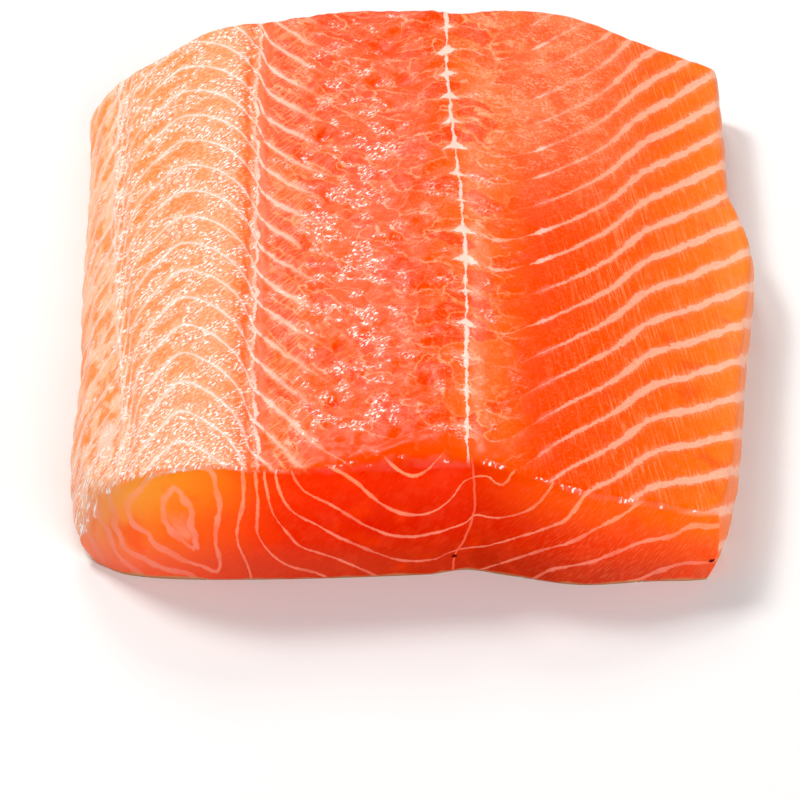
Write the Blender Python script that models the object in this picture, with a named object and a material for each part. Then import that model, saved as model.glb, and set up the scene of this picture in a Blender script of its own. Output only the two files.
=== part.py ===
"""Raw salmon fillet: a thick centre cut that lies skin side down.

The piece is one solid. Its back side is on the left (-X), its belly side on
the right (+X), the near cut faces -Y and the far cut faces +Y. The skin side
is flat, because it rests on a table. Lengths are in millimetres until the
mesh is scaled to metres at the end. The origin is under the middle of the
bounding box.
"""

import math

import bmesh
import bpy
from mathutils import Vector, noise

MILLIMETRE = 0.001

# Outline of the slab seen from above: where each cut and each side lies.
NEAR_CUT = [(-90, -86), (-80, -95), (-70, -100.5), (-45, -102), (4, -99.5), (14, -97.5),
            (24, -99.5), (42, -103), (60, -101.5), (74, -100.5), (84, -96)]
FAR_CUT = [(-90, 81), (-80, 82), (-70, 83), (-58, 89.5), (-40, 95.5), (-18, 101), (8, 100),
           (30, 105.5), (44, 105.5), (58, 101), (72, 97), (80, 94), (88, 88)]
BACK_SIDE = [(-104, -80), (-88, -84), (-66, -86), (-30, -85.2), (-4, -86.3), (32, -86.6),
             (60, -87), (84, -88.5)]
BELLY_SIDE = [(-104, 75), (-92, 79), (-70, 82.6), (-30, 85.6), (8, 89), (20, 88), (38, 83.6),
              (60, 83), (94, 82)]

# Height of the flesh across the slab, and how it changes from the near to the far cut.
CROWN = [(-92, 10), (-86, 14.5), (-81, 20), (-76, 25), (-67, 30), (-57, 33.4), (-47, 34.4),
         (-39.5, 33.6), (-30, 33.2), (-16, 33.6), (0, 34.8), (8, 34.2), (13, 33), (19, 32.8),
         (31, 30.5), (42, 28.2), (56, 24.4), (70, 20.6), (82, 18.2), (92, 17)]
CROWN_ALONG = [(-104, 1.01), (-60, 1.02), (0, 1.0), (50, 0.95), (104, 0.89)]

# How far the walls lean in at the skin and at their upper edge, and how they swell between.
BACK_WALL_BASE_INSET = 4.0
BACK_WALL_TOP_INSET = 3.5
BACK_WALL_WIDEST = 0.45
BELLY_WALL_BASE_INSET = 2.4
BELLY_WALL_TOP_INSET = 0.8
BELLY_WALL_WIDEST = 0.5
CUT_LEAN = 2.2
CUT_SWELL = 1.1

# Radius of the edges between the top and the walls.
EDGE_ROUND = 2.2
NEAR_ROUND = [(-90, 6), (-72, 4), (-60, 1.6), (-30, 1.8), (-8, 6), (12, 6), (30, 2.8), (90, 1.8)]

# White sheets of connective tissue between the flakes: the course of one of them across the
# top, how far apart they are there, and how much closer they stand towards the far cut.
SHEET_COURSE = [(-92, -18), (-77, -15), (-72, -6), (-66, 1.5), (-59.5, 4.4), (-52, 0.5), (-46, -6),
                (-42, -13), (-39.5, -21), (-31.5, -30), (-22, -38), (-13, -43), (-3, -46),
                (12.5, -39.2), (21.5, -43.5), (34.5, -34.5), (50, -17.5), (60, -1.5), (70, 8.6),
                (80, 18.4), (92, 29)]
SHEET_SPACING = [(-92, 11.6), (-45, 11.7), (10, 12.6), (45, 12.6), (60, 13.1), (80, 14.2), (92, 14.8)]
SHEET_CROWDING = 6.4e-5
SHEET_CROWDING_MIDDLE = 39.2

# Under the top the sheets are nested cones. The back cone lies round a line that runs the
# length of the slab, and the others open upwards.
BACK_CONE_X = -59.5
BACK_CONE_DEPTH = 15.5
BACK_CONE_STEP = 13.0
BACK_CONE_NARROWING = 0.4
BACK_CONE_SHIFT = 3.5

# Lines that run the length of the slab: the row of pin bones and the middle of the side.
PIN_BONE_LINE = [(-104, -39.2), (-40, -39.4), (10, -40), (60, -42), (104, -41.2)]
MIDDLE_LINE = [(-104, 14.2), (-50, 13.8), (0, 12.4), (60, 8.8), (104, 7.6)]

# Relief of the flesh.
FLAKE_SWELL = 0.55
SCALLOP_SWELL = 0.75
PIN_BONE_DEPTH = 1.3
PIN_BONE_WIDTH = 2.6
MIDDLE_DEPTH = 0.7
MIDDLE_WIDTH = 3.2
CRAG_HEIGHT = 0.9
CRAG_SIZE = 9.0
CUT_CRAG_HEIGHT = 0.25

# Divisions of the block that becomes the fillet.
ACROSS_CUTS = 52
ALONG_CUTS = 62
UP_CUTS = 5
EDGE_CROWDING = 0.3


def clear_scene():
    """Remove every object that is already in the file."""
    for item in list(bpy.data.objects):
        bpy.data.objects.remove(item, do_unlink=True)


def blend(start, end, share):
    """Go from start to end by the given share."""
    return start + (end - start) * share


def smooth_step(low, high, value):
    """Rise smoothly from 0 at low to 1 at high."""
    share = min(max((value - low) / (high - low), 0.0), 1.0)
    return share * share * (3.0 - 2.0 * share)


def curve_slope(points, index):
    """Slope of the smooth curve at one of its points."""
    before = points[max(index - 1, 0)]
    after = points[min(index + 1, len(points) - 1)]
    return (after[1] - before[1]) / (after[0] - before[0])


def curve_value(points, position):
    """Read the smooth curve through (position, value) points."""
    position = min(max(position, points[0][0]), points[-1][0])
    index = 0
    while index < len(points) - 2 and position > points[index + 1][0]:
        index += 1
    start, end = points[index], points[index + 1]
    span = end[0] - start[0]
    t = (position - start[0]) / span
    rise_start = curve_slope(points, index) * span
    rise_end = curve_slope(points, index + 1) * span
    return (start[1] * (2 * t ** 3 - 3 * t ** 2 + 1) + rise_start * (t ** 3 - 2 * t ** 2 + t)
            + end[1] * (3 * t ** 2 - 2 * t ** 3) + rise_end * (t ** 3 - t ** 2))


def wall_inset(up, widest, base_inset, top_inset):
    """Distance that a side wall stands in from its widest place."""
    if up < widest:
        return base_inset * (1.0 - up / widest) ** 2
    return top_inset * ((up - widest) / (1.0 - widest)) ** 2


def plan_point(across, along, up):
    """Place on the outline seen from above, for a point of the block."""
    share_across = (across + 1.0) / 2.0
    share_along = (along + 1.0) / 2.0
    swell = CUT_SWELL * math.sin(math.pi * up)
    x = blend(BACK_SIDE[0][1], BELLY_SIDE[0][1], share_across)
    for _ in range(2):
        near = curve_value(NEAR_CUT, x) + CUT_LEAN * up - swell
        far = curve_value(FAR_CUT, x) - CUT_LEAN * (1.0 - up) + swell
        y = blend(near, far, share_along)
        left = curve_value(BACK_SIDE, y)
        left += wall_inset(up, BACK_WALL_WIDEST, BACK_WALL_BASE_INSET, BACK_WALL_TOP_INSET)
        right = curve_value(BELLY_SIDE, y)
        right -= wall_inset(up, BELLY_WALL_WIDEST, BELLY_WALL_BASE_INSET, BELLY_WALL_TOP_INSET)
        x = blend(left, right, share_across)
    return x, y, y - near, far - y, right - x


def rounded_drop(distance, radius):
    """Drop of a quarter-round edge at a distance from the wall."""
    short = min(max(radius - distance, 0.0), radius)
    return radius - math.sqrt(radius ** 2 - short ** 2)


def crown_height(x, y):
    """Height of the smooth top of the flesh."""
    return curve_value(CROWN, x) * curve_value(CROWN_ALONG, y)


def back_cone_turn(depth):
    """Sheets passed on the way down through the back cone."""
    return ((BACK_CONE_DEPTH - depth) ** 2 - BACK_CONE_DEPTH ** 2) / BACK_CONE_STEP ** 2


def side_cone_turn(x, depth):
    """Sheets passed on the way down through the cones beyond the pin bones."""
    steep = -0.09 * depth
    bowl = 0.0367 * depth - 0.00372 * depth ** 2
    belly = -0.07 * depth - 0.0012 * depth ** 2
    middle = blend(bowl, steep, 1.0 - smooth_step(-28.0, -5.0, x))
    return blend(middle, belly, smooth_step(10.0, 20.0, x))


def sheet_level(x, y, depth):
    """Count of white sheets passed at a place; a sheet lies at each whole number."""
    share_down = smooth_step(0.0, 12.0, depth)
    in_back = 1.0 - smooth_step(-43.5, -39.5, x)
    centre = BACK_CONE_X + BACK_CONE_SHIFT * share_down
    narrowed = BACK_CONE_X + (x - centre) * (1.0 + BACK_CONE_NARROWING * share_down)
    course = curve_value(SHEET_COURSE, blend(x, narrowed, in_back))
    level = (y - course) / curve_value(SHEET_SPACING, x)
    central = smooth_step(-38.0, -20.0, x) * (1.0 - smooth_step(20.0, 42.0, x))
    level += central * SHEET_CROWDING * (y ** 2 - SHEET_CROWDING_MIDDLE ** 2)
    back_turn = back_cone_turn(depth) * smooth_step(-78.0, -68.0, x)
    return level + blend(side_cone_turn(x, depth), back_turn, in_back)


def groove(offset, width):
    """Depth share of a rounded groove at an offset from its middle."""
    return math.exp(-(offset / width) ** 2)


def flesh_relief(x, y, z):
    """Height of flakes, grooves and torn flesh above the smooth form."""
    depth = max(crown_height(x, y) - z, 0.0)
    level = sheet_level(x, y, depth)
    flake = abs(math.sin(math.pi * level)) ** 0.7 - 0.6
    steepness = abs(curve_value(SHEET_COURSE, x + 1.0) - curve_value(SHEET_COURSE, x - 1.0)) / 2.0
    flake_share = 1.0 / (1.0 + 1.2 * steepness ** 2)
    on_back_wall = 1.0 - smooth_step(-84.0, -78.0, x)
    relief = FLAKE_SWELL * flake * flake_share * (1.0 - on_back_wall)
    relief += SCALLOP_SWELL * flake * on_back_wall
    on_top = 1.0 - smooth_step(2.0, 6.0, depth)
    knots = 0.65 + 0.35 * math.sin(2.0 * math.pi * level)
    pin_offset = x - curve_value(PIN_BONE_LINE, y) + 2.0
    relief -= PIN_BONE_DEPTH * knots * groove(pin_offset, PIN_BONE_WIDTH) * on_top
    relief -= MIDDLE_DEPTH * groove(x - curve_value(MIDDLE_LINE, y), MIDDLE_WIDTH) * on_top
    torn = smooth_step(-38.0, -30.0, x) * (1.0 - smooth_step(28.0, 44.0, x)) * on_top
    spot = Vector((x, y * 1.4, z * 0.5)) / CRAG_SIZE
    crag = noise.noise(spot) + 0.5 * noise.noise(spot * 2.1)
    relief += blend(CUT_CRAG_HEIGHT, CRAG_HEIGHT, torn) * crag
    return relief


def slab_point(across, along, up):
    """Place of a block point on the smooth form of the fillet."""
    x, y, from_near, from_far, from_belly = plan_point(across, along, up)
    drop = rounded_drop(from_near, curve_value(NEAR_ROUND, x))
    drop = max(drop, rounded_drop(from_far, EDGE_ROUND), rounded_drop(from_belly, EDGE_ROUND))
    return Vector((x, y, up * (crown_height(x, y) - drop)))


def crowd_to_edges(value):
    """Move a division of the block towards the nearer edge."""
    return blend(value, math.sin(value * math.pi / 2.0), EDGE_CROWDING)


def divided_block():
    """A block two units wide whose five upper sides are divided into a grid."""
    block = bmesh.new()
    bmesh.ops.create_cube(block, size=2.0)
    for axis, cuts in enumerate((ACROSS_CUTS, ALONG_CUTS, UP_CUTS)):
        edges = [edge for edge in block.edges
                 if abs(edge.verts[0].co[axis] - edge.verts[1].co[axis]) > 1.0]
        bmesh.ops.subdivide_edges(block, edges=edges, cuts=cuts, use_grid_fill=True)
    block.normal_update()
    under = [face for face in block.faces if face.normal.z < -0.9]
    bmesh.ops.dissolve_faces(block, faces=under)
    return block


def shape_fillet(block):
    """Turn the block into the fillet, with its relief, in metres."""
    for vertex in block.verts:
        up = (vertex.co.z + 1.0) / 2.0
        vertex.co = slab_point(crowd_to_edges(vertex.co.x), crowd_to_edges(vertex.co.y), up)
    block.normal_update()
    moves = {}
    for vertex in block.verts:
        if vertex.co.z > 0.01:
            share = smooth_step(0.0, 4.0, vertex.co.z)
            moves[vertex] = vertex.normal * flesh_relief(*vertex.co) * share
    for vertex, move in moves.items():
        vertex.co += move
    low = Vector([min(vertex.co[axis] for vertex in block.verts) for axis in range(3)])
    high = Vector([max(vertex.co[axis] for vertex in block.verts) for axis in range(3)])
    middle = Vector(((low.x + high.x) / 2.0, (low.y + high.y) / 2.0, 0.0))
    bmesh.ops.translate(block, verts=block.verts, vec=-middle)
    bmesh.ops.scale(block, verts=block.verts, vec=(MILLIMETRE,) * 3)


def flesh_material():
    """Wet raw salmon flesh."""
    material = bpy.data.materials.new("salmon_flesh")
    material.use_nodes = True
    shader = material.node_tree.nodes["Principled BSDF"]
    shader.inputs["Base Color"].default_value = (0.90, 0.19, 0.06, 1.0)
    shader.inputs["Roughness"].default_value = 0.35
    shader.inputs["Metallic"].default_value = 0.0
    return material


def make_fillet():
    """Build the fillet and put it in its collection."""
    block = divided_block()
    shape_fillet(block)
    mesh = bpy.data.meshes.new("fillet")
    block.to_mesh(mesh)
    block.free()
    mesh.shade_smooth()
    mesh.materials.append(flesh_material())
    fillet = bpy.data.objects.new("fillet", mesh)
    collection = bpy.data.collections.new("salmon_fillet")
    bpy.context.scene.collection.children.link(collection)
    collection.objects.link(fillet)
    return fillet


clear_scene()
make_fillet()
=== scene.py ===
"""Looks of a raw salmon fillet: a thick centre cut that lies skin side down.

Lengths in the making of the slab are in millimetres, and its mesh is scaled to metres at the end.
The back of the fish is at -X, the belly at +X, the near cut faces -Y and the far cut +Y.
"""

import math

import bmesh
import bpy
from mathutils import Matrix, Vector, noise


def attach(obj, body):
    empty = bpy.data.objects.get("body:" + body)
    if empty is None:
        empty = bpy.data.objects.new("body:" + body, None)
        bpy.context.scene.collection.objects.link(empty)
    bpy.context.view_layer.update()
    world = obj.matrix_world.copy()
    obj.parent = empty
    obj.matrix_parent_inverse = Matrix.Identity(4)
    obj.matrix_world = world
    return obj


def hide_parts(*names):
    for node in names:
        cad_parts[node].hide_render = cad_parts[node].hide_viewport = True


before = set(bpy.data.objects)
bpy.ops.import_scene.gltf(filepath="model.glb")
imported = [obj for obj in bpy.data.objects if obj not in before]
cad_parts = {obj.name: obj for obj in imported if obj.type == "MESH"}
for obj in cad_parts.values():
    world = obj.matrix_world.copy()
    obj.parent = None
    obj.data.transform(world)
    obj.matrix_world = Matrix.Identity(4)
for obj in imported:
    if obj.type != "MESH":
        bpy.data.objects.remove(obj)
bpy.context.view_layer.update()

# The slab: one thick piece of raw flesh, cut square across at both ends. The back of the fish
# is the tall round side, the belly the low one, and the skin lies flat on the table.

NEAR_CUT = [(-90, -86), (-80, -95), (-70, -100.5), (-45, -102), (4, -99.5), (14, -97.5),
            (24, -99.5), (42, -103), (60, -101.5), (74, -100.5), (84, -96)]
FAR_CUT = [(-90, 81), (-80, 82), (-70, 83), (-58, 89.5), (-40, 95.5), (-18, 101), (8, 100),
           (30, 105.5), (44, 105.5), (58, 101), (72, 97), (80, 94), (88, 88)]
BACK_SIDE = [(-104, -80), (-88, -84), (-66, -86), (-30, -85.2), (-4, -86.3), (32, -86.6),
             (60, -87), (84, -88.5)]
BELLY_SIDE = [(-104, 75), (-92, 79), (-70, 82.6), (-30, 85.6), (8, 89), (20, 88), (38, 83.6),
              (60, 83), (94, 82)]
CROWN = [(-92, 10), (-86, 14.5), (-81, 20), (-76, 25), (-67, 30), (-57, 33.4), (-47, 34.4),
         (-39.5, 33.6), (-30, 33.2), (-16, 33.6), (0, 34.8), (8, 34.2), (13, 33), (19, 32.8),
         (31, 30.5), (42, 28.2), (56, 24.4), (70, 20.6), (82, 18.2), (92, 17)]
CROWN_ALONG = [(-104, 1.01), (-60, 1.02), (0, 1.0), (50, 0.95), (104, 0.89)]
BACK_WALL = (0.45, 4.0, 3.5)
BELLY_WALL = (0.5, 2.4, 0.8)
CUT_LEAN = 2.2
CUT_SWELL = 1.1
EDGE_ROUND = 2.2
NEAR_ROUND = [(-90, 6), (-72, 4), (-60, 1.6), (-30, 1.8), (-8, 6), (12, 6), (30, 2.8), (90, 1.8)]
SLAB_CUTS = ((236, 196, 40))
EDGE_CROWDING = 0.3
OUTLINE_ROUNDS = 2
MILLIMETRE = 0.001


def blend(start, end, share):
    """Go from start to end by the given share."""
    return start + (end - start) * share


def smooth_step(low, high, value):
    """Rise smoothly from 0 at low to 1 at high."""
    share = min(max((value - low) / (high - low), 0.0), 1.0)
    return share * share * (3.0 - 2.0 * share)


def hump(low, rise, fall, high, value):
    """Rise from 0 to 1, stay, and fall to 0 again."""
    return smooth_step(low, rise, value) * (1.0 - smooth_step(fall, high, value))


def curve_value(points, position):
    """Read the smooth curve through (position, value) points."""
    position = min(max(position, points[0][0]), points[-1][0])
    last = len(points) - 1
    index = 0
    while index < last - 1 and position > points[index + 1][0]:
        index += 1
    start, end = points[index], points[index + 1]
    before, after = points[max(index - 1, 0)], points[min(index + 2, last)]
    span = end[0] - start[0]
    t = (position - start[0]) / span
    rise_start = (end[1] - before[1]) / (end[0] - before[0]) * span
    rise_end = (after[1] - start[1]) / (after[0] - start[0]) * span
    return (start[1] * (2 * t ** 3 - 3 * t ** 2 + 1) + rise_start * (t ** 3 - 2 * t ** 2 + t)
            + end[1] * (3 * t ** 2 - 2 * t ** 3) + rise_end * (t ** 3 - t ** 2))


def wall_inset(up, widest, base_inset, top_inset):
    """Distance that a side wall stands in from its widest place."""
    if up < widest:
        return base_inset * (1.0 - up / widest) ** 2
    return top_inset * ((up - widest) / (1.0 - widest)) ** 2


def near_face(x, up):
    """How far along the fish the near cut stands, at a share of the height."""
    return curve_value(NEAR_CUT, x) + CUT_LEAN * up - CUT_SWELL * math.sin(math.pi * up)


def plan_point(across, along, up):
    """Place seen from above for a point of the block, with its distances from three walls."""
    share_across = (across + 1.0) / 2.0
    share_along = (along + 1.0) / 2.0
    swell = CUT_SWELL * math.sin(math.pi * up)
    x = blend(BACK_SIDE[0][1], BELLY_SIDE[0][1], share_across)
    for _ in range(OUTLINE_ROUNDS):
        near = near_face(x, up)
        far = curve_value(FAR_CUT, x) - CUT_LEAN * (1.0 - up) + swell
        y = blend(near, far, share_along)
        left = curve_value(BACK_SIDE, y) + wall_inset(up, *BACK_WALL)
        right = curve_value(BELLY_SIDE, y) - wall_inset(up, *BELLY_WALL)
        x = blend(left, right, share_across)
    return x, y, y - near, far - y, right - x


def rounded_drop(distance, radius):
    """Drop of a quarter-round edge at a distance from the wall."""
    short = min(max(radius - distance, 0.0), radius)
    return radius - math.sqrt(radius ** 2 - short ** 2)


def crown_height(x, y):
    """Height of the smooth top of the flesh."""
    return curve_value(CROWN, x) * curve_value(CROWN_ALONG, y)


def slab_point(across, along, up):
    """Place of a block point on the smooth form of the slab."""
    x, y, from_near, from_far, from_belly = plan_point(across, along, up)
    drop = rounded_drop(from_near, curve_value(NEAR_ROUND, x))
    drop = max(drop, rounded_drop(from_far, EDGE_ROUND), rounded_drop(from_belly, EDGE_ROUND))
    return Vector((x, y, up * (crown_height(x, y) - drop)))


def crowd_to_edges(value):
    """Move a division of the block towards the nearer edge."""
    return blend(value, math.sin(value * math.pi / 2.0), EDGE_CROWDING)


slab = bmesh.new()
bmesh.ops.create_cube(slab, size=2.0)
for axis, cuts in enumerate(SLAB_CUTS):
    spanning = [edge for edge in slab.edges
                if abs(edge.verts[0].co[axis] - edge.verts[1].co[axis]) > 1.0]
    bmesh.ops.subdivide_edges(slab, edges=spanning, cuts=cuts, use_grid_fill=True)
slab.normal_update()
underside = [face for face in slab.faces if face.normal.z < -0.9]
bmesh.ops.dissolve_faces(slab, faces=underside)
for vertex in slab.verts:
    up = (vertex.co.z + 1.0) / 2.0
    vertex.co = slab_point(crowd_to_edges(vertex.co.x), crowd_to_edges(vertex.co.y), up)
slab.normal_update()

# The white sheets between the flakes: thin walls of connective tissue and fat, nested like
# cones along the fish. Each shows as one white line in waves across the top and both cuts.

SHEET_COURSE = [(-92, -58), (-86, -52), (-81, -46.5), (-77.5, -42.5), (-75.7, -38), (-74.8, -30),
                (-73.9, -21), (-72.4, -12.5), (-69.4, -6), (-65, -0.6), (-59.5, 4.4), (-52, 0.5),
                (-46, -6), (-42, -13), (-39.5, -21), (-31.5, -30), (-22, -38), (-13, -43), (-3, -46),
                (12.5, -39.2), (21.5, -43.5), (34.5, -34.5), (50, -17.5), (60, -1.5), (70, 8.6),
                (80, 18.4), (92, 29)]
SHEET_SPACING = [(-92, 11.6), (-45, 11.7), (10, 12.6), (45, 12.6), (60, 13.1), (80, 14.2), (92, 14.8)]
SHEET_CROWDING = 6.4e-5
SHEET_CROWDING_MIDDLE = 39.2
BACK_CONE_X = -59.5
BACK_CONE_DEPTH = 15.5
BACK_CONE_STEP = 13.0
BACK_CONE_NARROWING = 0.4
BACK_CONE_SHIFT = 3.5
BACK_CONE_SIDE = (-78.0, -68.0)
BACK_END = (-43.5, -39.5)
CONE_LEAN_DEPTH = 12.0
CENTRAL_SPAN = (-38.0, -20.0, 20.0, 42.0)
STEEP_SIDE = (-28.0, -5.0)
BELLY_START = (10.0, 20.0)
STEEP_TURN = -0.09
BOWL_TURN = (0.0367, -0.00372)
BELLY_TURN = (-0.07, -0.0012)
SEAM_X = -76.0
SEAM_REACH = (-70.0, -50.0)
SEAM_LINE = [(-104, -73), (-90, -72.3), (-77, -71.8), (-64, -72.6), (-43, -74.1), (-21, -75.8),
             (11, -77.8), (49, -79), (104, -80)]
PIN_BONE_LINE = [(-104, -36.6), (-96, -37), (-80, -38.2), (-50, -39.5), (-10, -39.9), (28, -40.8),
                 (55, -41.8), (76, -41.4), (104, -41)]
MIDDLE_LINE = [(-104, 14.2), (-50, 13.8), (0, 12.9), (60, 8.8), (104, 7.6)]

# The sheets on the near cut, as (across, up) places where each one passes. A sheet is named by
# its count from the middle of the slab; those between two whole numbers lead the pattern.
NEAR_CUT_SHEETS = {
    -11.4: [(-57.5, 24), (-57.5, 20), (-56, 15)],
    -11: [(-58, 28.5), (-56, 25), (-54.5, 17.5), (-53, 10), (-59.5, 26.5), (-61, 21.5), (-60, 17.5),
          (-57, 14)],
    -10.5: [(-51, 12), (-62, 13)],
    -10.2: [(-58, 32.5)],
    -10.1: [(-66, 27)],
    -10: [(-70, 21.5), (-69.5, 18.5), (-64.5, 14), (-59.5, 9), (-48, 2.5), (-48, 9.5), (-47, 23.5),
          (-48, 28.5)],
    -9.5: [(-45, 1)],
    -9.4: [(80, 3)],
    -9: [(-41.5, 37), (-41.5, 8), (-73, 18.5), (-73.5, 15), (-71, 9), (-55, 2), (58, 1.5), (68.5, 6),
         (74, 5.5)],
    -8.7: [(-62, 1)],
    -8.6: [(45, 1)],
    -8: [(-75, 12.5), (-73, 6.5), (-69, 2.5), (-38, 31), (-37.5, 25), (-38, 16), (-23.5, 2), (31, 0.5),
         (35.5, 4.5), (57.5, 13), (65.5, 14.5), (69, 17), (76, 16), (-80, 20)],
    -7.5: [(24, 1)],
    -7.3: [(-80, 12)],
    -7: [(-36, 31.5), (-35, 25), (-31.5, 17), (-27, 10.5), (-11, 2), (17.5, 0.5), (44, 16.5),
         (53.5, 22), (58, 25), (63.5, 26.5), (-78, 4)],
    -6.7: [(8, 1)],
    -6.6: [(-4, 1)],
    -6: [(-29, 21.5), (-23, 17.5), (6.5, 5), (12, 7), (17.5, 8), (32.5, 16.5), (38, 20), (43, 27.5)],
    -5: [(-29.5, 35.5), (-13.5, 18.5), (5, 13.5), (14, 15.5), (15.5, 18), (21.5, 18), (35.5, 31)],
    -4.5: [(-20, 29)],
    -4: [(-12.5, 29), (2, 19.5), (9.5, 22.5), (13, 27.5), (19.5, 30), (22.5, 27.5)],
    -2.9: [(2, 33)],
}
SHEET_EASE = 1.5
LATERAL_SHEET = [(0, 10.6), (5, 11.1), (9, 13), (17, 15.6), (25, 15.8), (36, 14.6)]

# Half the thickness of a white line across the slab, and how plain it is.
LINE_WIDTH = [(-92, 1.3), (-82, 1.1), (-78, 0.5), (-74, 0.22), (-68, 0.32), (-59, 0.42), (-48, 0.38),
              (-41, 0.34), (-38, 0.55), (-33, 0.62), (-26, 0.45), (-18, 0.3), (-5, 0.25), (12, 0.3),
              (18, 0.4), (21.5, 0.6), (25, 0.25), (31, 0.22), (32.6, 0.75), (34.5, 0.6), (37, 0.42),
              (44, 0.58), (55, 0.95), (70, 1.22), (88, 1.42)]
LINE_STRENGTH = [(-90, 0.6), (-76, 0.6), (-60, 0.72), (-41, 0.75), (-34, 0.72), (-28, 0.5),
                 (-20, 0.35), (-10, 0.3), (5, 0.3), (12, 0.45), (17, 0.45), (21.5, 0.7), (25, 0.4),
                 (29, 0.45), (33, 0.85), (37, 0.72), (45, 0.86), (90, 0.9)]
CUT_LINE_WIDTH = [(-80, 1.1), (-70, 0.9), (-58, 0.95), (-50, 0.8), (-42, 0.52), (-36, 0.34),
                  (-26, 0.36), (-8, 0.46), (4, 0.4), (14, 0.26), (30, 0.36), (40, 0.5), (55, 0.7),
                  (80, 0.75)]


def thin_plate(across, up):
    """How a sheet's place pulls on the pattern at a distance."""
    squared = across * across + up * up
    return 0.5 * squared * math.log(squared) if squared > 1e-9 else 0.0


def solved(rows):
    """Solve equations given as rows of factors with the result last."""
    count = len(rows)
    for column in range(count):
        best = max(range(column, count), key=lambda row: abs(rows[row][column]))
        rows[column], rows[best] = rows[best], rows[column]
        lead = rows[column]
        for row in range(column + 1, count):
            factor = rows[row][column] / lead[column]
            if factor:
                rows[row] = [value - factor * above for value, above in zip(rows[row], lead)]
    results = [0.0] * count
    for row in reversed(range(count)):
        known = sum(rows[row][later] * results[later] for later in range(row + 1, count))
        results[row] = (rows[row][count] - known) / rows[row][row]
    return results


cut_places = [(x, up, count) for count, places in NEAR_CUT_SHEETS.items() for x, up in places]
equations = [[thin_plate(x - other[0], up - other[1]) for other in cut_places]
             + [1.0, x, up, count] for x, up, count in cut_places]
for index in range(len(cut_places)):
    equations[index][index] = SHEET_EASE
for side in range(3):
    equations.append([(1.0, x, up)[side] for x, up, _ in cut_places] + [0.0] * 4)
cut_pulls = solved(equations)


def near_cut_level(x, y, z):
    """Count of white sheets passed at a place on the near cut."""
    from_near = max(y - near_face(x, min(z / crown_height(x, y), 1.0)), 0.0)
    up = z + from_near
    pulled = sum(pull * thin_plate(x - place[0], up - place[1])
                 for pull, place in zip(cut_pulls, cut_places))
    return pulled + cut_pulls[-3] + cut_pulls[-2] * x + cut_pulls[-1] * up


def back_cone_turn(depth):
    """Sheets passed on the way down through the back cone."""
    return ((BACK_CONE_DEPTH - depth) ** 2 - BACK_CONE_DEPTH ** 2) / BACK_CONE_STEP ** 2


def side_cone_turn(x, depth):
    """Sheets passed on the way down through the cones beyond the pin bones."""
    steep = STEEP_TURN * depth
    bowl = BOWL_TURN[0] * depth + BOWL_TURN[1] * depth ** 2
    belly = BELLY_TURN[0] * depth + BELLY_TURN[1] * depth ** 2
    middle = blend(bowl, steep, 1.0 - smooth_step(*STEEP_SIDE, x))
    return blend(middle, belly, smooth_step(*BELLY_START, x))


def sheet_level(x, y, z):
    """Count of white sheets passed at a place; a sheet lies at each whole number."""
    depth = max(crown_height(x, y) - z, 0.0)
    share_down = smooth_step(0.0, CONE_LEAN_DEPTH, depth)
    in_back = 1.0 - smooth_step(*BACK_END, x)
    seam_shift = (curve_value(SEAM_LINE, y) - SEAM_X) * (1.0 - smooth_step(*SEAM_REACH, x))
    straight = x - seam_shift
    centre = BACK_CONE_X + BACK_CONE_SHIFT * share_down
    narrowed = BACK_CONE_X + (straight - centre) * (1.0 + BACK_CONE_NARROWING * share_down)
    course = curve_value(SHEET_COURSE, blend(straight, narrowed, in_back))
    level = (y - course) / curve_value(SHEET_SPACING, x)
    central = hump(*CENTRAL_SPAN, x)
    level += central * SHEET_CROWDING * (y ** 2 - SHEET_CROWDING_MIDDLE ** 2)
    back_turn = back_cone_turn(depth) * smooth_step(*BACK_CONE_SIDE, x)
    return level + blend(side_cone_turn(x, depth), back_turn, in_back)


SLOPE_STEP = 0.2
LEAST_SLOPE = 0.012


def sheet_gap(level_at, place, normal):
    """Millimetres along the surface from one white sheet to the next."""
    here = level_at(*place)
    slope = Vector([(level_at(*(place + SLOPE_STEP * axis)) - here) / SLOPE_STEP
                    for axis in (Vector((1, 0, 0)), Vector((0, 1, 0)), Vector((0, 0, 1)))])
    slope -= normal * slope.dot(normal)
    return 1.0 / max(slope.length, LEAST_SLOPE)


MIDDLE_FIBRE_LEAN = -0.75
BELLY_FIBRE_LEAN = 0.18
FIBRE_TURN = (-10.0, 20.0)


def fibre_run(x, y):
    """Distance across the muscle fibres, which run from one white sheet to the next."""
    return blend(x + MIDDLE_FIBRE_LEAN * y, x + BELLY_FIBRE_LEAN * y, smooth_step(*FIBRE_TURN, x))


# The torn places: round lobes of flesh between the pin bones and the middle line, where the
# flakes were pulled apart, with thin films along their rims and deep pits between them.

LOBE_SIZE = 9.5
FLAKE_SWELL = 0.5
SCALLOP_SWELL = 0.75
PIN_BONE_DEPTH = 1.0
PIN_BONE_WIDTH = 2.0
MIDDLE_DEPTH = 0.5
MIDDLE_WIDTH = 2.6
CORD_SWELL = 0.3
SEAM_SWELL = 0.35
SEAM_DEPTH = 0.5
THREAD_WIDTH = 0.8
WARP_SIZE = 11.0
LOBE_SWELL = 0.9
PIT_DEPTH = 1.8
BACK_WALL_TOP = (-84.0, -78.0)
PITS = [(-18.7, -50.8, 1.9), (-19.1, -73, 1.7), (-24.4, 41.2, 2.2), (-4.4, -9, 2.0),
        (-22, 12, 1.5), (-11, 66, 1.6), (4, -66, 1.6), (-28, -8, 1.4), (-8, 82, 4.0),
        (-3, 66, 3.0), (-29, 32, 2.2)]


def torn_share(x):
    """How torn the flesh is at a place across the slab."""
    return hump(-39.0, -31.0, 8.0, 12.0, x) + 0.55 * hump(13.0, 17.0, 24.0, 33.0, x)


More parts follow.
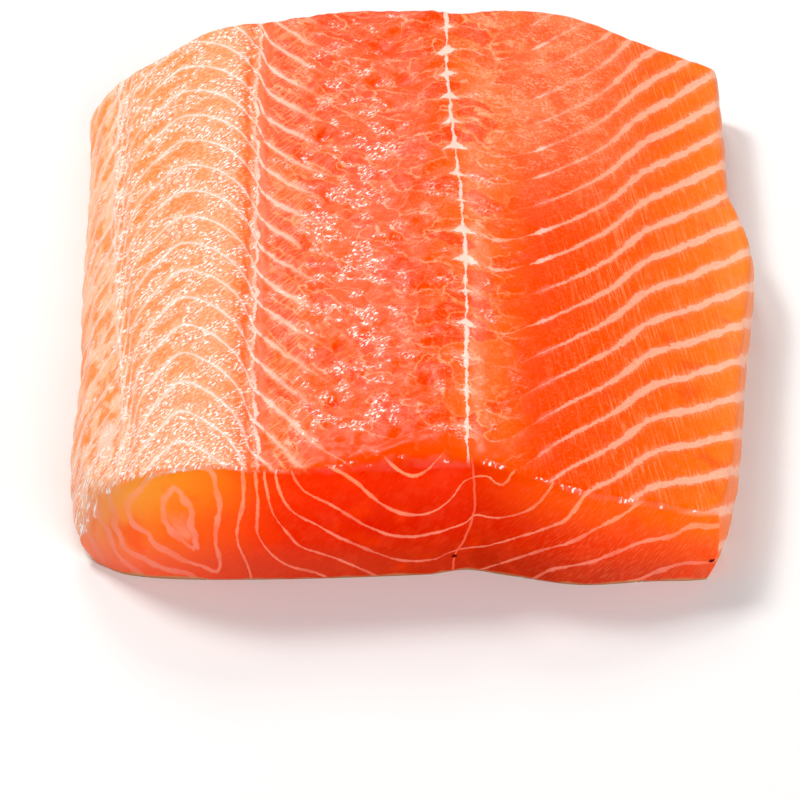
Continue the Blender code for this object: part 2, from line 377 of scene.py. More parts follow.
def lobe_height(x, y, z):
    """Height of the torn lobes."""
    warp = Vector((noise.noise(Vector((x, y, z)) / WARP_SIZE),
                   noise.noise(Vector((y, x, z + 40)) / WARP_SIZE), 0))
    spot = Vector((x * 0.8 - y * 0.25, y * 1.25, z * 0.3)) / LOBE_SIZE + warp * 0.7
    nearest = noise.voronoi(spot)[0]
    rim = smooth_step(0.2, 0.03, nearest[1] - nearest[0])
    return 1.0 - (nearest[0] * 1.25) ** 2 + 0.45 * noise.noise(spot * 2.7) + 0.3 * rim


def groove(offset, width):
    """Depth share of a rounded groove at an offset from its middle."""
    return math.exp(-(offset / width) ** 2)


def pit_share(x, y):
    """How deep in a pit of the torn flesh a place lies."""
    return max(groove(math.hypot(x - pit_x, (y - pit_y) * 0.8), size) for pit_x, pit_y, size in PITS)


def flesh_relief(x, y, z, level, cut_share):
    """Height of flakes, grooves and torn flesh above the smooth form."""
    flake = abs(math.sin(math.pi * level)) ** 0.7 - 0.6
    steepness = abs(curve_value(SHEET_COURSE, x + 1.0) - curve_value(SHEET_COURSE, x - 1.0)) / 2.0
    flake_share = 1.0 / (1.0 + 1.2 * steepness ** 2)
    on_back_wall = 1.0 - smooth_step(*BACK_WALL_TOP, x)
    on_top = 1.0 - cut_share
    relief = FLAKE_SWELL * flake * flake_share * (1.0 - on_back_wall) * blend(0.35, 1.0, on_top)
    relief += SCALLOP_SWELL * flake * on_back_wall
    knots = 0.65 + 0.35 * math.sin(2.0 * math.pi * level)
    pin_offset = x - curve_value(PIN_BONE_LINE, y) + 2.0
    middle_offset = x - curve_value(MIDDLE_LINE, y)
    seam_offset = x - curve_value(SEAM_LINE, y)
    relief -= PIN_BONE_DEPTH * knots * groove(pin_offset, PIN_BONE_WIDTH) * on_top
    relief -= MIDDLE_DEPTH * groove(middle_offset, MIDDLE_WIDTH) * on_top
    relief += CORD_SWELL * groove(middle_offset, THREAD_WIDTH) * on_top
    seam_ridge = SEAM_SWELL * groove(seam_offset, THREAD_WIDTH)
    relief += (seam_ridge - SEAM_DEPTH * groove(seam_offset - 2.0, 1.2)) * on_top
    torn = torn_share(x) * on_top
    relief += torn * LOBE_SWELL * (lobe_height(x, y, z) - 0.6) - PIT_DEPTH * pit_share(x, y) * on_top
    fine = noise.noise(Vector((x, y, z)) / 3.1)
    finer = noise.noise(Vector((y, z, x)) / 1.7)
    return relief + blend(0.12, 0.35, torn) * fine + blend(0.05, 0.16, torn) * finer


CUT_FACING = (0.3, 0.88)
CUT_START_DEPTH = (0.1, 1.0)
FOOT_HEIGHT = 4.0
marks = {}
for vertex in slab.verts:
    place, normal = vertex.co.copy(), vertex.normal.copy()
    depth = max(crown_height(place.x, place.y) - place.z, 0.0)
    level = cut_level = sheet_level(*place)
    gap = cut_gap = sheet_gap(sheet_level, place, normal)
    cut_share = smooth_step(*CUT_FACING, abs(normal.y)) * smooth_step(*CUT_START_DEPTH, depth)
    if cut_share > 0.0 and place.y < 0.0:
        cut_level = near_cut_level(*place)
        cut_gap = sheet_gap(near_cut_level, place, normal)
    marks[vertex] = {
        "sheet": level,
        "gap": gap,
        "cut_sheet": cut_level,
        "cut_gap": cut_gap,
        "run": fibre_run(place.x, place.y),
        "pin": place.x - curve_value(PIN_BONE_LINE, place.y),
        "middle": place.x - curve_value(MIDDLE_LINE, place.y),
        "seam": place.x - curve_value(SEAM_LINE, place.y),
        "lateral": place.x - curve_value(LATERAL_SHEET, place.z),
        "cut": cut_share,
        "width": curve_value(LINE_WIDTH, place.x),
        "cut_width": curve_value(CUT_LINE_WIDTH, place.x),
        "strength": curve_value(LINE_STRENGTH, place.x),
        "pit_shade": pit_share(place.x, place.y) * (1.0 - cut_share),
        "share_up": place.z / max(place.z + depth, 1.0),
        "relief": flesh_relief(*place, cut_level if cut_share > 0.5 else level, cut_share),
    }
for vertex in slab.verts:
    if vertex.co.z > 0.01:
        share = smooth_step(0.0, FOOT_HEIGHT, vertex.co.z)
        vertex.co += vertex.normal * marks[vertex]["relief"] * share
low = Vector([min(vertex.co[axis] for vertex in slab.verts) for axis in range(3)])
high = Vector([max(vertex.co[axis] for vertex in slab.verts) for axis in range(3)])
slab_shift = Vector(((low.x + high.x) / 2.0, (low.y + high.y) / 2.0, 0.0))
bmesh.ops.translate(slab, verts=slab.verts, vec=-slab_shift)
bmesh.ops.scale(slab, verts=slab.verts, vec=(MILLIMETRE,) * 3)

# The looks of the flesh: each place of the slab gets its share of every mark and its colours,
# and the wet surface is mixed from them.

TOP_COLOURS = [(-90, (255, 164, 84)), (-78, (255, 144, 70)), (-66, (255, 138, 70)),
               (-50, (255, 138, 76)), (-43, (255, 122, 60)), (-39, (255, 100, 38)),
               (-30, (255, 90, 18)), (0, (255, 74, 4)), (10, (255, 94, 22)), (16, (255, 102, 30)),
               (24, (255, 92, 22)), (32, (255, 68, 4)), (50, (255, 80, 6)), (70, (255, 104, 18)),
               (86, (255, 130, 38))]
CUT_UPPER = [(-84, (255, 158, 108)), (-74, (255, 158, 76)), (-60, (255, 144, 40)),
             (-44, (255, 106, 18)), (-34, (255, 56, 0)), (-10, (246, 40, 0)), (14, (244, 46, 2)),
             (30, (255, 76, 12)), (55, (255, 90, 4)), (80, (255, 116, 8))]
CUT_MIDDLE = [(-84, (255, 146, 104)), (-74, (255, 134, 68)), (-60, (255, 108, 28)),
              (-45, (255, 80, 22)), (-30, (240, 42, 10)), (0, (224, 30, 2)), (20, (226, 38, 10)),
              (50, (240, 62, 20)), (80, (252, 94, 34))]
CUT_LOWER = [(-84, (250, 134, 104)), (-60, (248, 96, 62)), (-40, (224, 70, 46)),
             (0, (206, 52, 28)), (20, (198, 48, 26)), (50, (208, 60, 36)), (80, (240, 88, 54))]
CUT_MIDDLE_START = (0.08, 0.5)
CUT_UPPER_START = (0.45, 0.88)
TISSUE_COLOURS = [(-90, (255, 208, 188)), (-60, (255, 214, 204)), (-41, (255, 210, 198)),
                  (-34, (255, 198, 176)), (-22, (255, 182, 150)), (6, (255, 172, 134)),
                  (14, (255, 190, 164)), (22, (255, 192, 166)), (28, (255, 172, 134)),
                  (33, (255, 200, 180)), (38, (255, 176, 148)), (48, (255, 170, 138)),
                  (70, (255, 180, 150)), (90, (255, 194, 166))]
CUT_TISSUE = [(0.0, (246, 132, 108)), (0.4, (252, 140, 112)), (0.8, (255, 152, 108)),
              (1.0, (255, 162, 114))]


def light_share(value):
    """Turn a colour value of a screen, 0 to 255, into a share of reflected light."""
    value /= 255.0
    return value / 12.92 if value <= 0.04045 else ((value + 0.055) / 1.055) ** 2.4


def colour_at(points, position):
    """Read a colour between (position, colour) points, as shares of reflected light."""
    return [light_share(curve_value([(at, colour[part]) for at, colour in points], position))
            for part in range(3)]


def mixed(first, second, share):
    """Mix two colours."""
    return [blend(a, b, share) for a, b in zip(first, second)]


mesh = bpy.data.meshes.new("fillet_flesh")
slab.verts.index_update()
order = list(slab.verts)
slab.to_mesh(mesh)
for name in ("sheet", "gap", "cut_sheet", "cut_gap", "run", "pin", "middle", "seam", "lateral", "cut",
             "width", "cut_width", "strength", "pit_shade"):
    layer = mesh.attributes.new(name, "FLOAT", "POINT")
    layer.data.foreach_set("value", [marks[vertex][name] for vertex in order])
flesh_colours, tissue_colours = [], []
for vertex in order:
    x = vertex.co.x / MILLIMETRE + slab_shift.x
    share_up, cut_share = marks[vertex]["share_up"], marks[vertex]["cut"]
    side = mixed(colour_at(CUT_LOWER, x), colour_at(CUT_MIDDLE, x),
                 smooth_step(*CUT_MIDDLE_START, share_up))
    side = mixed(side, colour_at(CUT_UPPER, x), smooth_step(*CUT_UPPER_START, share_up))
    flesh_colours.extend(mixed(colour_at(TOP_COLOURS, x), side, cut_share) + [1.0])
    tissue = mixed(colour_at(TISSUE_COLOURS, x), colour_at(CUT_TISSUE, share_up), cut_share)
    tissue_colours.extend(tissue + [1.0])
for name, colours in (("flesh", flesh_colours), ("tissue", tissue_colours)):
    layer = mesh.attributes.new(name, "FLOAT_COLOR", "POINT")
    layer.data.foreach_set("color", colours)
slab.free()
mesh.shade_smooth()
fillet_flesh = bpy.data.objects.new("fillet_flesh", mesh)
bpy.context.scene.collection.objects.link(fillet_flesh)

wet_flesh = bpy.data.materials.new("wet_salmon_flesh")
wet_flesh.use_nodes = True
nodes = wet_flesh.node_tree.nodes
links = wet_flesh.node_tree.links
shader = nodes["Principled BSDF"]
shader.subsurface_method = "BURLEY"


def plug(value, socket):
    """Join a socket to another one, or give it a fixed value."""
    if isinstance(value, bpy.types.NodeSocket):
        links.new(value, socket)
    else:
        socket.default_value = value


def number(kind, *values):
    """Work out one number from others."""
    node = nodes.new("ShaderNodeMath")
    node.operation = kind
    for value, socket in zip(values, node.inputs):
        plug(value, socket)
    return node.outputs[0]


def times(*values):
    """Multiply numbers."""
    result = values[0]
    for value in values[1:]:
        result = number("MULTIPLY", result, value)
    return result


def plus(*values):
    """Add numbers."""
    result = values[0]
    for value in values[1:]:
        result = number("ADD", result, value)
    return result


def largest(*values):
    """Pick the largest number."""
    result = values[0]
    for value in values[1:]:
        result = number("MAXIMUM", result, value)
    return result


def between(start, end, share):
    """Go from start to end by a share."""
    return plus(start, times(number("SUBTRACT", end, start), share))


def rise(value, low, high, start=0.0, end=1.0):
    """Go smoothly from start to end while a value goes from low to high."""
    node = nodes.new("ShaderNodeMapRange")
    node.interpolation_type = "SMOOTHSTEP"
    fixed_limits = not any(isinstance(limit, bpy.types.NodeSocket) for limit in (low, high))
    if fixed_limits and low > high:
        low, high, start, end = high, low, end, start
    for given, socket in zip((value, low, high, start, end), node.inputs):
        plug(given, socket)
    return node.outputs[0]


def stretch(value, start, full, fade, end):
    """1 while a value is between full and fade, and 0 before start and after end."""
    return times(rise(value, start, full), rise(value, end, fade))


def close_to(offset, full, gone):
    """1 while an offset to either side is under full, and 0 once it is past gone."""
    return rise(number("ABSOLUTE", offset), full, gone, 1.0, 0.0)


def oval(from_across, across_share, from_height, height_share):
    """Distance from the middle of an oval, for its two offsets and their shares."""
    return number("SQRT", plus(number("POWER", times(from_across, across_share), 2.0),
                               number("POWER", times(from_height, height_share), 2.0)))


def band(offset, half_width):
    """1 along the middle of a band, 0 outside it, with a soft rim."""
    return rise(number("DIVIDE", number("ABSOLUTE", offset), half_width), 0.6, 1.25, 1.0, 0.0)


def carried(name):
    """Read a mark that the mesh carries."""
    node = nodes.new("ShaderNodeAttribute")
    node.attribute_name = name
    return node.outputs["Fac"]


def carried_colour(name):
    """Read a colour that the mesh carries."""
    node = nodes.new("ShaderNodeAttribute")
    node.attribute_name = name
    return node.outputs["Color"]


def speckle(place, size, detail=2.0, roughness=0.5, distortion=0.0, flat=False):
    """Cloudy pattern between 0 and 1 whose patches are about a size in millimetres."""
    node = nodes.new("ShaderNodeTexNoise")
    node.noise_dimensions = "2D" if flat else "3D"
    node.inputs["Scale"].default_value = 1.0 / size
    node.inputs["Detail"].default_value = detail
    node.inputs["Roughness"].default_value = roughness
    node.inputs["Distortion"].default_value = distortion
    links.new(place, node.inputs["Vector"])
    return node.outputs["Fac"]


def cells(place, size, feature):
    """Cells of about a size in millimetres: their distances, or their random tones."""
    node = nodes.new("ShaderNodeTexVoronoi")
    node.voronoi_dimensions = "2D"
    node.feature = feature
    node.inputs["Scale"].default_value = 1.0 / size
    links.new(place, node.inputs["Vector"])
    return node


def spot_of(first, second):
    """Place on a plane of two numbers, for a pattern that follows the flesh."""
    node = nodes.new("ShaderNodeCombineXYZ")
    plug(first, node.inputs[0])
    plug(second, node.inputs[1])
    return node.outputs[0]


def painted(below, colour, share):
    """Lay a colour over another by a share."""
    node = nodes.new("ShaderNodeMix")
    node.data_type = "RGBA"
    plug(share, node.inputs["Factor"])
    plug(below, node.inputs[6])
    if isinstance(colour, bpy.types.NodeSocket):
        links.new(colour, node.inputs[7])
    else:
        node.inputs[7].default_value = [light_share(part) for part in colour] + [1.0]
    return node.outputs[2]


BRUSH_TURN = math.radians(48.0)
BRUSH_STRETCH = (2.1, 1.0, 1.0)
coordinates = nodes.new("ShaderNodeTexCoord")
to_millimetres = nodes.new("ShaderNodeMapping")
to_millimetres.inputs["Scale"].default_value = (1.0 / MILLIMETRE,) * 3
to_millimetres.inputs["Location"].default_value = slab_shift
links.new(coordinates.outputs["Object"], to_millimetres.inputs["Vector"])
place = to_millimetres.outputs["Vector"]
brush = nodes.new("ShaderNodeMapping")
brush.vector_type = "TEXTURE"
brush.inputs["Rotation"].default_value = (0.0, 0.0, BRUSH_TURN)
brush.inputs["Scale"].default_value = BRUSH_STRETCH
links.new(place, brush.inputs["Vector"])
brushed = brush.outputs["Vector"]
split = nodes.new("ShaderNodeSeparateXYZ")
links.new(place, split.inputs[0])
across, along, height = split.outputs

sheet, gap, run = carried("sheet"), carried("gap"), carried("run")
pin, middle, seam = carried("pin"), carried("middle"), carried("seam")
cut, width, strength, pit_shade = carried("cut"), carried("width"), carried("strength"), carried("pit_shade")

# The parts of the slab: its top, back, flank, belly, near end, torn row and far places.
on_top = number("SUBTRACT", 1.0, cut)
near_side = rise(along, -80.0, -90.0)
back = times(rise(pin, -0.3, -1.5), on_top)
flank = times(rise(seam, 0.4, -0.8), on_top)
belly = times(rise(across, 26.0, 38.0), on_top)
near_rim = times(rise(along, -80.0, -92.0), stretch(across, -32.0, -18.0, 20.0, 30.0))
torn = times(rise(pin, 0.3, 4.0), rise(across, 34.0, 16.0), on_top)
torn = times(torn, rise(near_rim, 0.0, 1.0, 1.0, 0.12))
beside_pins = times(stretch(pin, 0.3, 1.5, 9.0, 17.0), on_top)
far_row = times(rise(along, 10.0, 90.0), on_top)
far_side = times(rise(along, 0.0, 60.0), stretch(across, 12.0, 22.0, 38.0, 66.0), on_top)

# Patterns that the marks share: waves and ripples bend the lines, rags tear their edges, and the
# cloud, patches and blots make them fade in places. Each sheet also has a chance number.
wave = number("SUBTRACT", speckle(place, 6.0, 2.0), 0.5)
ripple = number("SUBTRACT", speckle(place, 1.3, 2.0, 0.6), 0.5)
grain = speckle(place, 0.8, 3.0, 0.65)
scales = speckle(brushed, 0.7, 3.0, 0.65, flat=True)
rags = number("SUBTRACT", speckle(place, 0.75, 2.0, 0.6), 0.5)
cloud = speckle(place, 9.0, 2.0, 0.55)
patches = speckle(place, 6.0, 2.0)
blots = speckle(place, 4.5, 2.0)
chance = nodes.new("ShaderNodeTexWhiteNoise")
chance.noise_dimensions = "1D"
chance_of_sheet = chance.outputs["Value"]

# The white lines of the top, ragged where the flesh is torn, and those of the two cuts.
wander = plus(times(wave, rise(torn, 0.0, 1.0, 0.09, 0.2)), times(ripple, 0.03))
level = number("ADD", sheet, wander)
distance = number("ABSOLUTE", times(number("SUBTRACT", level, number("ROUND", level)), gap))
raggedness = plus(0.5, times(torn, 1.9), times(belly, 0.9))
ragged = number("ADD", distance, times(rags, raggedness))
swelling = rise(blots, 0.3, 0.7, 0.6, 1.35)
patchy = rise(patches, 0.38, 0.58, 0.25, 1.0)
fat_spots = stretch(across, 15.0, 18.0, 34.0, 38.0)
swelling = times(swelling, between(1.0, rise(chance_of_sheet, 0.1, 0.9, 0.35, 1.25), fat_spots))
swelling = times(swelling, between(1.0, 0.55, far_side))
line = times(band(ragged, times(width, swelling)), strength, rise(grain, 0.3, 0.5, 0.7, 1.0))
line = times(line, between(1.0, patchy, times(torn, rise(pin, 8.0, 16.0))))
line = times(line, between(1.0, rise(chance_of_sheet, 0.2, 0.8, 0.45, 1.0), fat_spots))
line = times(line, between(1.0, rise(patches, 0.36, 0.56, 0.3, 1.0), far_side))
soft_side = times(rise(number("DIVIDE", ragged, width), 0.8, 2.2, 0.16, 0.0), belly)
cut_level = plus(carried("cut_sheet"), times(wave, 0.07), times(ripple, 0.03))
cut_distance = times(number("SUBTRACT", cut_level, number("ROUND", cut_level)), carried("cut_gap"))
cut_ragged = plus(number("ABSOLUTE", cut_distance), times(rags, 0.5))
cut_line = times(band(cut_ragged, times(carried("cut_width"), rise(blots, 0.3, 0.7, 0.5, 1.3))),
                 rise(patches, 0.32, 0.6, 0.55, 0.9))
line = between(line, cut_line, cut)
halo = times(rise(distance, 2.2, 0.0), on_top)

colour = carried_colour("flesh")
colour = painted(colour, (255, 62, 8), times(rise(cloud, 0.5, 0.75), between(0.5, 0.2, back)))
colour = painted(colour, (255, 112, 48), times(rise(scales, 0.5, 0.34), back, 0.6))
colour = painted(colour, (255, 200, 162), times(rise(scales, 0.5, 0.68), back, 0.6))
colour = painted(colour, (255, 206, 174), times(halo, back, 0.22))
flank_fat = rise(speckle(spot_of(times(seam, 0.3), times(sheet, 1.6)), 1.0, 2.0, flat=True), 0.42, 0.6)
colour = painted(colour, (255, 202, 164), times(flank_fat, flank, 0.6))
colour = painted(colour, (255, 136, 56), times(rise(flank_fat, 0.4, 0.0), flank, 0.5))
colour = painted(colour, (255, 70, 8), times(near_rim, on_top, 0.6))

# The torn flesh: smooth dark lobes, pale hatched ones, and films of tissue along their rims.
flow = spot_of(plus(times(across, 0.1), times(wave, 1.6)),
               plus(times(sheet, 1.6), times(ripple, 0.35), times(wave, -0.9)))
tones = nodes.new("ShaderNodeSeparateColor")
links.new(cells(flow, 1.0, "F1").outputs["Color"], tones.inputs[0])
rim_distance = cells(flow, 1.0, "DISTANCE_TO_EDGE").outputs["Distance"]
film_patches = rise(patches, 0.42, 0.62, 0.1, 1.0)
film = times(rise(plus(rim_distance, times(rags, 0.06)), 0.06, 0.005), film_patches, torn)
dark_lobes = times(rise(tones.outputs[0], 0.45, 0.6), rise(rim_distance, 0.02, 0.16), torn)
hatch = speckle(spot_of(times(run, 1.4), times(sheet, 1.3)), 1.0, 3.0, 0.6, 0.3, flat=True)
lean_cells = times(rise(tones.outputs[1], 0.4, 0.7), rise(across, -4.0, 6.0, 1.0, 0.25))
hatched = times(rise(hatch, 0.47, 0.66), torn, largest(beside_pins, times(lean_cells, 0.4)))
strands = speckle(spot_of(times(across, 0.3), times(sheet, 6.0)), 1.0, 3.0, 0.6, 0.6, flat=True)
wisps = times(close_to(number("SUBTRACT", strands, 0.5), 0.0, 0.05), torn, rise(blots, 0.45, 0.6))
far_grain = times(rise(grain, 0.46, 0.62), rise(blots, 0.4, 0.6, 0.15, 0.6))
colour = painted(colour, (255, 74, 10), times(far_row, torn, rise(across, 6.0, 12.0, 0.7, 0.0)))
colour = painted(colour, (255, 132, 82), times(far_side, rise(cloud, 0.4, 0.6, 0.3, 0.7)))
colour = painted(colour, (255, 184, 150), times(far_side, far_grain))
colour = painted(colour, (255, 60, 4), times(dark_lobes, 0.85))
colour = painted(colour, (255, 150, 96), times(rise(grain, 0.46, 0.68), torn, 0.35))
colour = painted(colour, (255, 170, 122), times(hatched, 0.5))
colour = painted(colour, (255, 180, 138), times(wisps, 0.4))
colour = painted(colour, (255, 186, 146), times(film, 0.55))
colour = painted(colour, (255, 202, 170), times(halo, beside_pins, rise(rags, -0.15, 0.1), 0.45))

# The muscle fibres of the belly: fine pale hairs that leave each white line.
fibres = speckle(spot_of(times(run, 1.7), times(sheet, 0.9)), 1.0, 3.0, 0.65, 0.15, flat=True)
fibre_patches = times(rise(patches, 0.4, 0.62, 0.4, 1.0), rise(far_side, 0.0, 1.0, 1.0, 0.2))
fibre_share = times(rise(fibres, 0.5, 0.64), belly, rise(distance, 0.3, 6.0, 1.0, 0.4), fibre_patches)
colour = painted(colour, (255, 152, 98), times(fibre_share, rise(across, 34.0, 56.0, 0.3, 0.7)))
colour = painted(colour, (255, 160, 116), times(rise(grain, 0.48, 0.7), belly, 0.18))
belly_rim = times(rise(across, 76.0, 84.0), rise(height, 15.0, 6.0, 0.35, 1.0))
colour = painted(colour, (255, 172, 132), times(belly_rim, rise(cloud, 0.35, 0.6), 0.3))
cut_lean = spot_of(times(plus(across, times(height, -0.8)), 2.0), times(height, 0.5))
cut_fibres = speckle(cut_lean, 1.0, 3.0, flat=True)
cut_fibre_share = times(rise(cut_fibres, 0.48, 0.7), cut, rise(across, 20.0, 50.0, 0.2, 1.0))
colour = painted(colour, (255, 132, 88), times(cut_fibre_share, 0.28))
cut_blush = times(rise(patches, 0.5, 0.62), cut)
colour = painted(colour, (250, 84, 44), times(cut_blush, 0.14))

# The innermost cone of the back on the near cut, partly filled with pale tissue, and all the
# white lines laid over the flesh.
core = times(rise(cut_level, -10.98, -11.3), near_side, cut)
core_fill = rise(plus(height, times(rags, 5.0)), 15.0, 23.0, 0.7, 0.0)
colour = painted(colour, (255, 152, 114), times(core, core_fill))
colour = painted(colour, carried_colour("tissue"), largest(line, soft_side))

# The pin bone row: a chain of pale lens-shaped knots, with pockets at their back side that are darkened
# as painted shade.
lens = number("ABSOLUTE", number("SINE", times(plus(sheet, times(wave, 0.5)), math.pi)))
pin_wiggle = plus(pin, times(wave, -2.6), times(ripple, 1.0), 0.5)
knot = times(band(plus(pin_wiggle, times(rags, 1.0)), plus(0.1, times(lens, swelling, 0.42))), on_top,
             rise(patches, 0.35, 0.6, 0.4, 0.85))
pocket_offset = plus(pin_wiggle, 2.0, times(rags, 1.6))
pocket_shade = close_to(pocket_offset, times(lens, 0.5), plus(times(lens, 2.2), 0.1))
pocket_shade = times(pocket_shade, on_top, rise(blots, 0.34, 0.56))
inner_offset = plus(pin_wiggle, -2.1, times(rags, 1.6))
inner_pocket_shade = times(close_to(inner_offset, times(lens, 0.6), plus(times(lens, 2.4), 0.1)), on_top)
# Painted shade: the pockets beside the knots are darkened in the colour.
colour = painted(colour, (255, 96, 24), times(pocket_shade, 0.75))
colour = painted(colour, (255, 86, 16), times(inner_pocket_shade, 0.7))
colour = painted(colour, (255, 204, 186), knot)

# The seam between the back and the flank: a few thin strands, with pockets beside them that are
# darkened as painted shade.
seam_wiggle = plus(seam, times(wave, 1.8), times(ripple, 0.3))
second_strand = plus(seam, times(wave, -3.4), times(ripple, 0.4), 0.7)
third_strand = plus(seam, times(number("SUBTRACT", cloud, 0.5), 6.0), -0.8)
seam_line = largest(band(plus(seam_wiggle, times(rags, 0.5)), 0.28),
                    times(band(second_strand, 0.2), 0.6),
                    times(band(third_strand, 0.16), 0.5))
seam_offset = plus(seam_wiggle, -1.5, times(rags, 1.0))
seam_pocket_shade = close_to(seam_offset, times(lens, 0.4), plus(times(lens, 1.6), 0.1))
seam_pocket_shade = times(seam_pocket_shade, rise(patches, 0.4, 0.55))
# Painted shade: the pockets beside the seam are darkened in the colour.
colour = painted(colour, (255, 118, 40), times(seam_pocket_shade, on_top, 0.7))
colour = painted(colour, (255, 212, 198), times(seam_line, on_top, rise(blots, 0.35, 0.6, 0.3, 0.75)))
torn_skin = oval(plus(across, 76.0), 0.3, plus(along, 78.0), 0.12)
torn_skin = rise(plus(torn_skin, times(wave, 2.0), times(rags, 1.0)), 1.0, 0.45)
colour = painted(colour, (255, 212, 194), times(torn_skin, on_top, 0.65))

# The middle line: a white cord with a knot like a small bird at each sheet.
middle_wiggle = plus(middle, times(wave, 1.6), times(ripple, 0.4))
aside = number("ABSOLUTE", middle_wiggle)
node_sheet = plus(sheet, times(wave, 0.3), times(ripple, 0.1))
node_number = number("ROUND", node_sheet)
links.new(node_number, chance.inputs["W"])
node_size = rise(chance_of_sheet, 0.0, 1.0, 0.5, 1.35)
cord = band(plus(middle_wiggle, times(rags, 0.7)), rise(blots, 0.35, 0.65, 0.14, 0.62))
node_off = times(number("SUBTRACT", node_sheet, node_number), gap)
wing_reach = times(node_size, 3.2)
wing_width = times(number("POWER", rise(aside, 0.0, wing_reach, 1.0, 0.0), 1.3), node_size, 1.35)
star = band(plus(node_off, times(aside, aside, 0.12), times(rags, 1.5)), plus(wing_width, 0.02))
star = times(star, rise(aside, times(wing_reach, 0.85), wing_reach, 1.0, 0.0))
tissue = times(largest(cord, star), on_top)
star_glow = times(rise(aside, 5.0, 1.0), close_to(node_off, 0.5, 3.0), on_top, rise(rags, -0.15, 0.1))
colour = painted(colour, (255, 184, 148), times(star_glow, 0.5))
colour = painted(colour, (255, 212, 196), times(tissue, 0.95))
lateral = plus(carried("lateral"), times(wave, 1.2), times(rags, 0.3))
colour = painted(colour, (255, 116, 84), times(band(lateral, 0.3), cut, near_side, 0.7))

# Painted shade in the pits of the torn flesh, the ends of two small veins, and the edge of the skin
# below.
VEIN_ENDS = ((11.0, 5.0), (75.0, 6.0))
# Painted shade: the pits are darkened in the colour.
colour = painted(colour, (250, 62, 8), times(rise(plus(pit_shade, rags), 0.3, 0.8), 0.7))
for vein_across, vein_height in VEIN_ENDS:
    vein = oval(plus(across, -vein_across), 1.1, plus(height, -vein_height), 1.5)
    vein_share = times(rise(plus(vein, rags), 1.0, 0.6), near_side, cut)
    colour = painted(colour, (104, 26, 14), vein_share)
skin = rise(plus(height, times(number("SUBTRACT", cloud, 0.5), -3.0)), 0.9, 0.2)
colour = painted(colour, (190, 146, 100), times(skin, 0.75))

# The wet gloss: smooth water on the cuts and lobes, and beads of fat that glint on the rough flesh
# of the back and in the torn row, where near-white flecks are also painted: flecks of fat and painted
# glints.
glitter_patches = rise(speckle(brushed, 4.5, 3.0, flat=True), 0.40, 0.56)
wet_row = stretch(across, -33.0, -22.0, -12.0, 0.0)
near_corner = times(rise(along, -70.0, -88.0), back)
rim_water = times(rise(times(cut, on_top), 0.08, 0.2), rise(patches, 0.54, 0.64), near_side,
                  rise(across, 76.0, 70.0))
torn_glitter = times(rise(blots, 0.48, 0.6), between(0.35, 0.9, wet_row), between(1.0, 0.6, far_row))
glitter = plus(times(back, between(glitter_patches, times(glitter_patches, 0.5), flank)),
               times(torn, torn_glitter),
               times(near_corner, 0.6),
               times(rise(cloud, 0.56, 0.66), on_top, 0.25),
               times(rim_water, 0.9))
glitter = times(number("MINIMUM", glitter, 1.0), rise(pocket_shade, 0.0, 1.0, 1.0, 0.3))
# Painted glints: near-white flecks laid into the base colour where the flesh glitters, partly flecks of
# fat.
painted_glints_and_fat_flecks = times(rise(speckle(brushed, 0.6, 2.0, 0.55, flat=True), 0.57, 0.625), rise(glitter, 0.25, 0.8))
colour = painted(colour, (255, 250, 244), times(painted_glints_and_fat_flecks, 0.9))
links.new(colour, shader.inputs["Base Color"])
bead_distance = cells(brushed, 1.15, "F1").outputs["Distance"]
bead_height = plus(times(bead_distance, bead_distance, -1.0),
                   times(speckle(brushed, 0.6, 2.0, 0.6, flat=True), 0.7))
ridges = nodes.new("ShaderNodeBump")
ridges.inputs["Distance"].default_value = 0.0003
links.new(plus(times(torn, 0.55), times(back, 0.3), 0.05), ridges.inputs["Strength"])
links.new(grain, ridges.inputs["Height"])
bumps = nodes.new("ShaderNodeBump")
bumps.inputs["Distance"].default_value = 0.0005
links.new(glitter, bumps.inputs["Strength"])
links.new(bead_height, bumps.inputs["Height"])
links.new(ridges.outputs[0], bumps.inputs["Normal"])
links.new(ridges.outputs[0], shader.inputs["Normal"])
links.new(bumps.outputs[0], shader.inputs["Coat Normal"])
links.new(rise(grain, 0.3, 0.7, 0.35, 0.5), shader.inputs["Roughness"])
water = times(rise(glitter, 0.0, 1.0, 0.08, 0.72), between(1.0, 0.5, times(far_row, torn)))
links.new(water, shader.inputs["Coat Weight"])
shader.inputs["IOR"].default_value = 1.35
shader.inputs["Specular IOR Level"].default_value = 0.25
shader.inputs["Coat Roughness"].default_value = 0.16
shader.inputs["Coat IOR"].default_value = 1.6
shader.inputs["Subsurface Weight"].default_value = 0.12
shader.inputs["Subsurface Radius"].default_value = (1.0, 0.35, 0.15)
shader.inputs["Subsurface Scale"].default_value = 0.002
mesh.materials.append(wet_flesh)
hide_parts("fillet")
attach(fillet_flesh, "root")

# The table: a plain pale floor under the fillet.

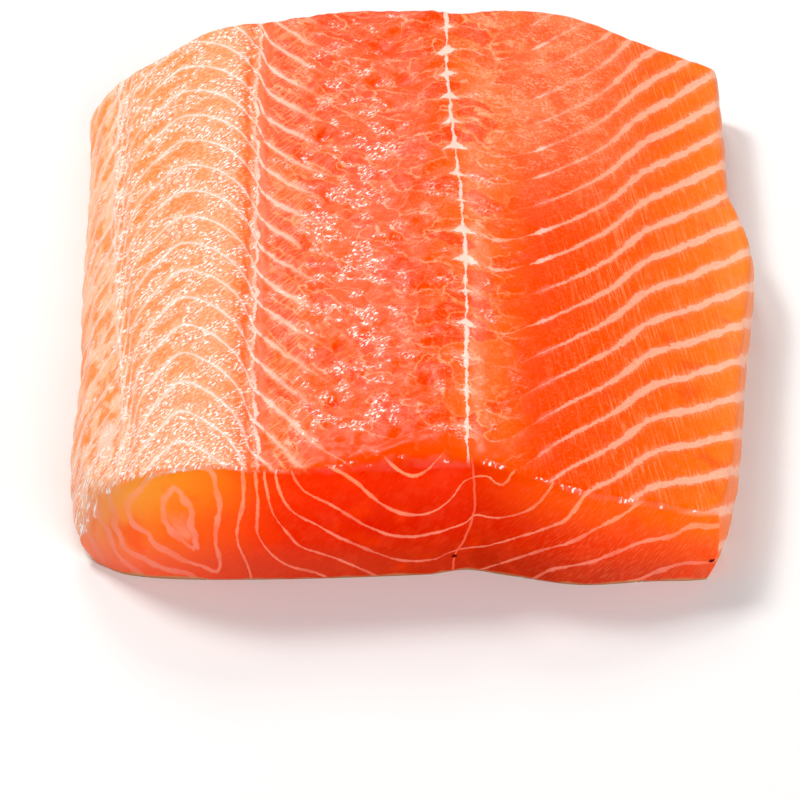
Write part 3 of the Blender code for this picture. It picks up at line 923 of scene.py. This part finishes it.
FLOOR_HALF = 3.0
floor_form = bmesh.new()
bmesh.ops.create_grid(floor_form, x_segments=1, y_segments=1, size=FLOOR_HALF)
floor_mesh = bpy.data.meshes.new("pale_floor")
floor_form.to_mesh(floor_mesh)
floor_form.free()
pale_floor = bpy.data.objects.new("pale_floor", floor_mesh)
bpy.context.scene.collection.objects.link(pale_floor)
pale_finish = bpy.data.materials.new("pale_floor")
pale_finish.use_nodes = True
floor_shader = pale_finish.node_tree.nodes["Principled BSDF"]
floor_shader.inputs["Base Color"].default_value = (0.86, 0.86, 0.86, 1.0)
floor_shader.inputs["Roughness"].default_value = 0.7
floor_mesh.materials.append(pale_finish)

# The light: one bright lamp high behind the back of the fish, a low one behind for the glints,
# a wide soft one in front, and an even glow from all round.

FILLET_MIDDLE = Vector((0.0, 0.0, 0.015))


def soft_lamp(name, place, size, power, tint):
    """A square lamp that faces the fillet."""
    lamp = bpy.data.lights.new(name, "AREA")
    lamp.size = size
    lamp.energy = power
    lamp.color = tint
    holder = bpy.data.objects.new(name, lamp)
    holder.location = place
    holder.rotation_euler = (FILLET_MIDDLE - Vector(place)).to_track_quat("-Z", "Y").to_euler()
    bpy.context.scene.collection.objects.link(holder)


soft_lamp("key_lamp", (-0.67, 0.72, 1.12), 0.36, 14.0, (1.0, 0.98, 0.95))
soft_lamp("back_lamp", (-0.2, 1.17, 0.93), 0.36, 5.5, (1.0, 0.98, 0.95))
soft_lamp("front_lamp", (0.7, -1.3, 0.9), 1.2, 17.0, (1.0, 1.0, 1.0))
glow = bpy.data.worlds.new("soft_glow")
glow.use_nodes = True
glow.node_tree.nodes["Background"].inputs["Color"].default_value = (1.0, 1.0, 1.0, 1.0)
glow.node_tree.nodes["Background"].inputs["Strength"].default_value = 0.35
bpy.context.scene.world = glow
bpy.context.scene.view_settings.view_transform = "Standard"
bpy.context.scene.view_settings.use_curve_mapping = True
bpy.context.scene.view_settings.curve_mapping.black_level = (0.015, 0.015, 0.015)

# The camera: a long lens that looks down at the near cut, as in the photograph.

CAMERA_PLACE = Vector((10.3, -1315.4, 1040.7))
VIEW_DOWN = math.radians(39.0)
VIEW_TURN = math.radians(0.604)
camera = bpy.data.cameras.new("camera")
camera.lens = 288.5
camera.sensor_width = 36.0
camera.clip_end = 20.0
holder = bpy.data.objects.new("camera", camera)
holder.location = (CAMERA_PLACE - slab_shift) * MILLIMETRE
holder.rotation_euler = (math.pi / 2.0 - VIEW_DOWN, 0.0, VIEW_TURN)
bpy.context.scene.collection.objects.link(holder)
bpy.context.scene.camera = holder
